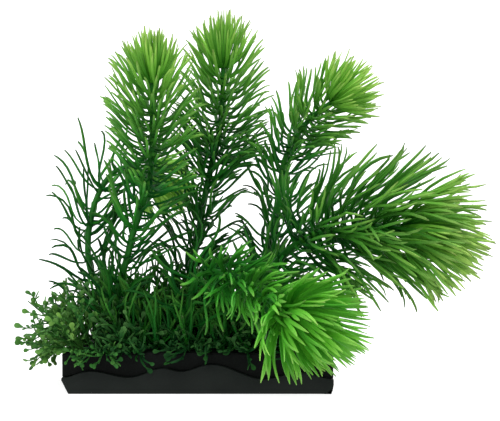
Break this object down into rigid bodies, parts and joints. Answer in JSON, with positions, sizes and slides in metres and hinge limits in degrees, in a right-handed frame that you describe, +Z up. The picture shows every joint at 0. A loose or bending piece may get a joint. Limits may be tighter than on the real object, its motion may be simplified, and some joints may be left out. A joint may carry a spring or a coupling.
{
  "type": "artificial aquarium plant",
  "caption": "Moulded plastic aquarium plant with whorls of forked leaves on curved stems and low twiggy sprigs in a weighted black base with a wavy rim.",
  "frame": {"origin": "centre of the flat underside of the base", "axes": "+Z up, +X along the base towards the long reaching stem, +Y to the back, away from the stem that leans out to the front"},
  "size_m": [0.2372, 0.1827, 0.1947],
  "materials": {
    "tray": "satin",
    "block": "matte",
    "stem": "satin",
    "leaf": "satin",
    "sprig": "satin"
  },
  "bodies": {
    "root": {"arch_stem": "stem", "arch_tuft": "leaf", "arch_whorl_1": "leaf", "arch_whorl_2": "leaf", "arch_whorl_3": "leaf", "base_block": "block", "base_tray": "tray", "front_stem": "stem", "front_tuft": "leaf", "front_whorl_1": "leaf", "front_whorl_2": "leaf", "front_whorl_3": "leaf", "front_whorl_4": "leaf", "front_whorl_5": "leaf", "front_whorl_6": "leaf", "left_stem": "stem", "left_tuft": "leaf", "left_whorl_1": "leaf", "left_whorl_2": "leaf", "left_whorl_3": "leaf", "left_whorl_4": "leaf", "left_whorl_5": "leaf", "left_whorl_6": "leaf", "left_whorl_7": "leaf", "left_whorl_8": "leaf", "reach_stem": "stem", "reach_tuft": "leaf", "reach_whorl_1": "leaf", "reach_whorl_2": "leaf", "reach_whorl_3": "leaf", "reach_whorl_4": "leaf", "reach_whorl_5": "leaf", "reach_whorl_6": "leaf", "reach_whorl_7": "leaf", "right_stem": "stem", "right_tuft": "leaf", "right_whorl_1": "leaf", "right_whorl_2": "leaf", "right_whorl_3": "leaf", "right_whorl_4": "leaf", "right_whorl_5": "leaf", "right_whorl_6": "leaf", "right_whorl_7": "leaf", "sprig_back": "sprig", "sprig_left_back": "sprig", "sprig_left_front": "sprig", "sprig_left_middle": "sprig", "sprig_middle": "sprig", "sprig_middle_front": "sprig", "sprig_right_front": "sprig", "tall_stem": "stem", "tall_tuft": "leaf", "tall_whorl_1": "leaf", "tall_whorl_2": "leaf", "tall_whorl_3": "leaf", "tall_whorl_4": "leaf", "tall_whorl_5": "leaf", "tall_whorl_6": "leaf", "tall_whorl_7": "leaf", "tall_whorl_8": "leaf"}
  },
  "joints": []
}
